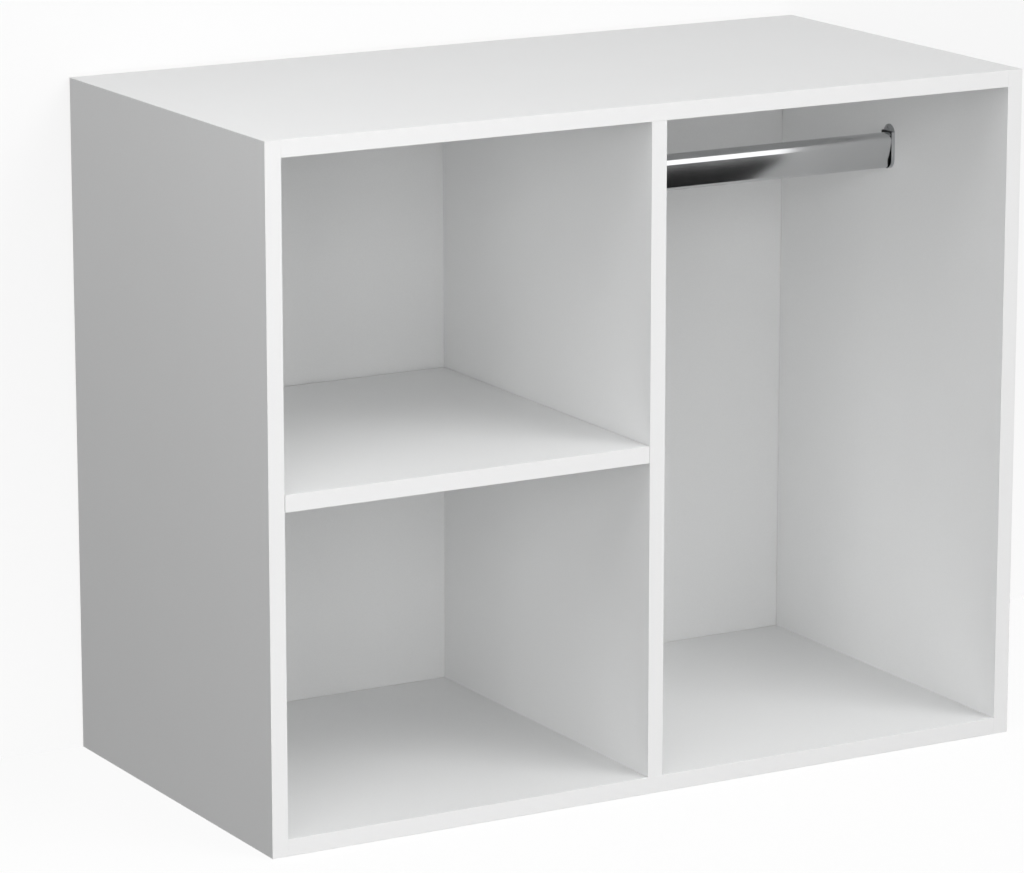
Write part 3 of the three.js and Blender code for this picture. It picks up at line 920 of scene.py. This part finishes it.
# %% Seats of the fittings
AXES = {"left": Vector((1, 0, 0)), "right": Vector((-1, 0, 0)),
        "divider_top": Vector((0, 0, -1)), "divider_bottom": Vector((0, 0, 1))}
DOWN, UP, RIGHT = Vector((0, 0, -1)), Vector((0, 0, 1)), Vector((1, 0, 0))


def turn_to(out, up):
    """The turn that carries local Z to out and local Y to up."""
    return Matrix((up.cross(out), up, out)).transposed().to_quaternion()


def seat_of(name, out, up, ahead=0.0):
    """The seat of a packed fitting that reaches a length ahead of it."""
    low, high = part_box(name)
    reach = abs((high - low).dot(out)) / 2
    return (low + high) / 2 + out * (reach - ahead), turn_to(out, up), 1.0


def named(prefix):
    return sorted(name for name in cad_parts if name.startswith(prefix))


def joint_axis(name):
    return next(axis for label, axis in AXES.items() if label in name)


def side_of(axis):
    return UP if abs(axis.z) < 0.5 else RIGHT

# %% [markdown]
# A screw thread is a row of equal ridges here, one pitch apart. A true spiral would look the
# same at this size and cost many more faces.

# %% Thread rings
thread_tree, inlet, outlet = new_group("thread_rings", "GeometryNodeTree", [
    ("Crest Radius", FLOAT, 0.0025), ("Root Radius", FLOAT, 0.002), ("Pitch", FLOAT, 0.0015),
    ("Ridges", "NodeSocketInt", 8)], [("Geometry", GEOMETRY)])
crest, root, pitch, ridges = [inlet.outputs[i] for i in range(4)]
half_pitch = times(thread_tree, pitch, 0.5)
ridge = turned(thread_tree, [(0.0, half_pitch, root, crest), (half_pitch, pitch, crest, root)],
               FINE)
line = node(thread_tree, "GeometryNodeMeshLine", {
    "Count": ridges, "Offset": vector_of(thread_tree, z=pitch)}, mode="OFFSET")
row = node(thread_tree, "GeometryNodeInstanceOnPoints", {
    "Points": line.outputs[0], "Instance": ridge})
thread_tree.links.new(
    node(thread_tree, "GeometryNodeRealizeInstances", {"Geometry": row.outputs[0]}).outputs[0],
    outlet.inputs[0])


def thread(tree, start, length, crest, root, ridges):
    rings = node(tree, "GeometryNodeGroup", node_tree=thread_tree, inputs={
        "Crest Radius": crest, "Root Radius": root, "Ridges": ridges,
        "Pitch": math_node(tree, "DIVIDE", length, float(ridges))})
    return raised(tree, rings.outputs[0], start)


# %% [markdown]
# ### Cams
# A cam is a zinc drum in a round pocket. Its face has a shallow rim and a cross slot for the
# screwdriver, and the mouth in its side takes the head of the bolt. Drum first, then the slot,
# the rim's recess and the mouth are cut out of it with a boolean.

# %% Cams
tree, inlet, outlet, sizes = fitting_tree("cam_drum", [
    "Radius", "Depth", "Edge", "Rim Width", "Recess", "Slot Length", "Slot Width", "Slot Depth",
    "Mouth Radius", "Mouth Centre"])
(radius, depth, edge, rim_width, recess, slot_length, slot_width, slot_depth, mouth_radius,
 mouth_centre) = sizes
small = minus(tree, radius, edge)
base = times(tree, depth, -1.0)
base_edge = plus(tree, base, edge)
face_edge = times(tree, edge, -1.0)
drum = turned(tree, [(base, base, 0.0, small), (base, base_edge, small, radius),
                     (base_edge, face_edge, radius, radius), (face_edge, 0.0, radius, small),
                     (0.0, 0.0, small, 0.0)], SMOOTH)
inner = minus(tree, radius, rim_width)
dish_floor = times(tree, recess, -1.0)
dish = turned(tree, [(dish_floor, dish_floor, 0.0, inner), (dish_floor, 0.001, inner, inner),
                     (0.001, 0.001, inner, 0.0)], SMOOTH)
slot_height = times(tree, slot_depth, 2.0)
slots = [block(tree, (slot_length, slot_width, slot_height), (0.0, 0.0, 0.0), math.radians(turn))
         for turn in (45, 135)]
mouth = node(tree, "GeometryNodeMeshCylinder", {
    "Vertices": FINE, "Radius": mouth_radius, "Depth": times(tree, radius, 2.0)})
mouth = node(tree, "GeometryNodeTransform", {
    "Geometry": mouth.outputs[0], "Rotation": (math.radians(90), 0, 0),
    "Translation": vector_of(tree, y=times(tree, radius, -0.7),
                             z=times(tree, mouth_centre, -1.0))})
place_on_seats(tree, inlet, outlet, cut(tree, drum, [dish, *slots, mouth.outputs[0]]))

cam_names = [name for name in named("cam_") if not name.startswith("cam_bolt_")]
cam_rows = []
for name in cam_names:
    axis = joint_axis(name)
    cam_rows.append(seat_of(name, DOWN if abs(axis.z) < 0.5 else RIGHT, axis))
run_tree(tree, "cams", seats("cam_seats", cam_rows), {
    "Radius": 7.2 * MM, "Depth": 12 * MM, "Edge": 0.35 * MM, "Rim Width": 0.9 * MM,
    "Recess": 0.5 * MM, "Slot Length": 8 * MM, "Slot Width": 1.4 * MM, "Slot Depth": 2.4 * MM,
    "Mouth Radius": 3.6 * MM, "Mouth Centre": 8 * MM},
    "carcass", cam_names, cast_zinc)

# %% [markdown]
# ### Bolts
# Each bolt is screwed flat into the face of one board as far as its collar. Its long neck
# ends in a head that the cam grips and draws in.

# %% Cam bolts
tree, inlet, outlet, sizes = fitting_tree("cam_bolt", [
    "Thread Radius", "Thread Length", "Collar Radius", "Collar Length", "Neck Radius",
    "Head Radius", "Head Length", "Reach"])
thread_radius, thread_length, collar, collar_length, neck, head, head_length, reach = sizes
root = times(tree, thread_radius, 0.8)
point = times(tree, thread_length, -1.0)
collar_edge = minus(tree, collar, 0.3 * MM)
collar_shoulder = minus(tree, collar_length, 0.3 * MM)
head_start = minus(tree, reach, head_length)
head_taper = plus(tree, head_start, 1 * MM)
head_shoulder = minus(tree, reach, 1 * MM)
head_tip = times(tree, head, 0.5)
rings = thread(tree, plus(tree, point, 1 * MM), minus(tree, thread_length, 1 * MM),
               thread_radius, root, 8)
bolt = turned(tree, [
    (point, point, 0.0, 1 * MM), (point, plus(tree, point, 1 * MM), 1 * MM, root),
    (0.0, 0.0, root, collar), (0.0, collar_shoulder, collar, collar),
    (collar_shoulder, collar_length, collar, collar_edge),
    (collar_length, collar_length, collar_edge, neck), (collar_length, head_start, neck, neck),
    (head_start, head_taper, neck, head), (head_taper, head_shoulder, head, head),
    (head_shoulder, reach, head, head_tip), (reach, reach, head_tip, 0.0)], FINE, [rings])
place_on_seats(tree, inlet, outlet, bolt)

BOLT_REACH = 26.5 * MM
bolt_names = named("cam_bolt_")
run_tree(tree, "cam_bolts", seats("bolt_seats", [
    seat_of(name, joint_axis(name), side_of(joint_axis(name)), BOLT_REACH)
    for name in bolt_names]), {
        "Thread Radius": 2.5 * MM, "Thread Length": 12 * MM, "Collar Radius": 3.2 * MM,
        "Collar Length": 2 * MM, "Neck Radius": 2 * MM, "Head Radius": 3 * MM,
        "Head Length": 5 * MM, "Reach": BOLT_REACH},
    "carcass", bolt_names, cast_zinc)

# %% [markdown]
# ### Shelf pins
# A pin is pushed into its hole up to the shoulder. The shelf rests on a flat on its head.

# %% Shelf pins
tree, inlet, outlet, sizes = fitting_tree("shelf_pin", [
    "Plug Radius", "Plug Length", "Head Radius", "Head Length", "Flat Depth", "Edge"])
plug, plug_length, head, head_length, flat_depth, edge = sizes
tip = times(tree, plug_length, -1.0)
tip_edge = plus(tree, tip, edge)
plug_small = minus(tree, plug, edge)
head_small = minus(tree, head, edge)
head_edge = minus(tree, head_length, edge)
pin = turned(tree, [
    (tip, tip, 0.0, plug_small), (tip, tip_edge, plug_small, plug), (tip_edge, 0.0, plug, plug),
    (0.0, 0.0, plug, head_small), (0.0, edge, head_small, head), (edge, head_edge, head, head),
    (head_edge, head_length, head, head_small), (head_length, head_length, head_small, 0.0)],
    SMOOTH)
flat_height = minus(tree, times(tree, head, 2.0), flat_depth)
flat = block(tree, (0.02, times(tree, head, 2.0), 0.04), (0.0, flat_height, 0.0))
place_on_seats(tree, inlet, outlet, cut(tree, pin, [flat]))

PIN_HEAD, PIN_HEAD_LENGTH = 3.5 * MM, 9 * MM
pin_names = named("shelf_pin_")
pin_rows = []
for name in pin_names:
    place, turn, run = seat_of(name, joint_axis(name), UP, PIN_HEAD_LENGTH)
    place.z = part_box(name)[0].z + PIN_HEAD
    pin_rows.append((place, turn, run))
run_tree(tree, "shelf_pins", seats("pin_seats", pin_rows), {
    "Plug Radius": 2.5 * MM, "Plug Length": 8 * MM, "Head Radius": PIN_HEAD,
    "Head Length": PIN_HEAD_LENGTH, "Flat Depth": 0.5 * MM, "Edge": 0.35 * MM},
    "carcass", pin_names, cast_zinc)

# %% [markdown]
# ### Socket screws
# Two countersunk screws with cross slots hold each socket.

# %% Socket screws
tree, inlet, outlet, sizes = fitting_tree("socket_screw", [
    "Head Radius", "Head Depth", "Shank Radius", "Length", "Tip", "Slot Length", "Slot Width",
    "Slot Depth"])
head, head_depth, shank, length, tip, slot_length, slot_width, slot_depth = sizes
end = times(tree, length, -1.0)
tip_end = plus(tree, end, tip)
neck = times(tree, head_depth, -1.0)
root = times(tree, shank, 0.72)
head_edge = minus(tree, head, 0.15 * MM)
rings = thread(tree, tip_end, minus(tree, neck, tip_end), shank, root, 9)
screw = turned(tree, [
    (end, tip_end, 0.0, root), (neck, -0.15 * MM, root, head),
    (-0.15 * MM, 0.0, head, head_edge), (0.0, 0.0, head_edge, 0.0)], FINE, [rings])
slot_height = times(tree, slot_depth, 2.0)
slots = [block(tree, (slot_length, slot_width, slot_height), (0.0, 0.0, 0.0), math.radians(turn))
         for turn in (0, 90)]
place_on_seats(tree, inlet, outlet, cut(tree, screw, slots))

screw_names = named("socket_screw_")
run_tree(tree, "socket_screws", seats("screw_seats", [
    seat_of(name, joint_axis(name), UP) for name in screw_names]), {
        "Head Radius": 2.8 * MM, "Head Depth": 1.4 * MM, "Shank Radius": 1.5 * MM,
        "Length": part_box(screw_names[0])[1].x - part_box(screw_names[0])[0].x, "Tip": 2 * MM,
        "Slot Length": 3.2 * MM, "Slot Width": 0.8 * MM, "Slot Depth": 0.9 * MM},
    "carcass", screw_names, satin_metal)

# %% [markdown]
# ### Dowels
# A beech dowel has pressed flutes along it, which let the air and spare glue out of the hole.
# The ring of points is simply pulled in and out around the axis.

# %% Dowels
FLUTES = 20
tree, inlet, outlet, sizes = fitting_tree("fluted_dowel", [
    "Radius", "In Face", "In End", "Chamfer", "Flute Depth"])
radius, in_face, in_end, chamfer, flute_depth = sizes
start = times(tree, in_face, -1.0)
start_edge = plus(tree, start, chamfer)
stop_edge = minus(tree, in_end, chamfer)
small = minus(tree, radius, chamfer)
dowel = turned(tree, [
    (start, start, 0.0, small), (start, start_edge, small, radius),
    (start_edge, stop_edge, radius, radius), (stop_edge, in_end, radius, small),
    (in_end, in_end, small, 0.0)], 4 * FLUTES)
spot = node(tree, "GeometryNodeInputPosition").outputs[0]
axes = node(tree, "ShaderNodeSeparateXYZ", {0: spot})
angle = math_node(tree, "ARCTAN2", axes.outputs["Y"], axes.outputs["X"])
wave = math_node(tree, "COSINE", times(tree, angle, float(FLUTES)))
push = times(tree, minus(tree, wave, 1.0), times(tree, flute_depth, 0.5))
from_axis = vector_of(tree, x=axes.outputs["X"], y=axes.outputs["Y"])
outward = node(tree, "ShaderNodeVectorMath", {0: from_axis}, operation="NORMALIZE").outputs[0]
distance = node(tree, "ShaderNodeVectorMath", {0: from_axis}, operation="LENGTH")
on_flank = node(tree, "FunctionNodeCompare", {
    0: distance.outputs["Value"], 1: times(tree, radius, 0.9)}, operation="GREATER_THAN")
shift = node(tree, "ShaderNodeVectorMath", {0: outward, "Scale": push}, operation="SCALE")
fluted = node(tree, "GeometryNodeSetPosition", {
    "Geometry": dowel, "Selection": on_flank.outputs[0], "Offset": shift.outputs[0]})
place_on_seats(tree, inlet, outlet, fluted.outputs[0])

DOWEL_IN_END = 20 * MM
dowel_names = named("dowel_")
run_tree(tree, "dowels", seats("dowel_seats", [
    seat_of(name, joint_axis(name), side_of(joint_axis(name)), DOWEL_IN_END)
    for name in dowel_names]), {
        "Radius": 4 * MM, "In Face": 10 * MM, "In End": DOWEL_IN_END, "Chamfer": 1.2 * MM,
        "Flute Depth": 0.3 * MM},
    "carcass", dowel_names, beech)
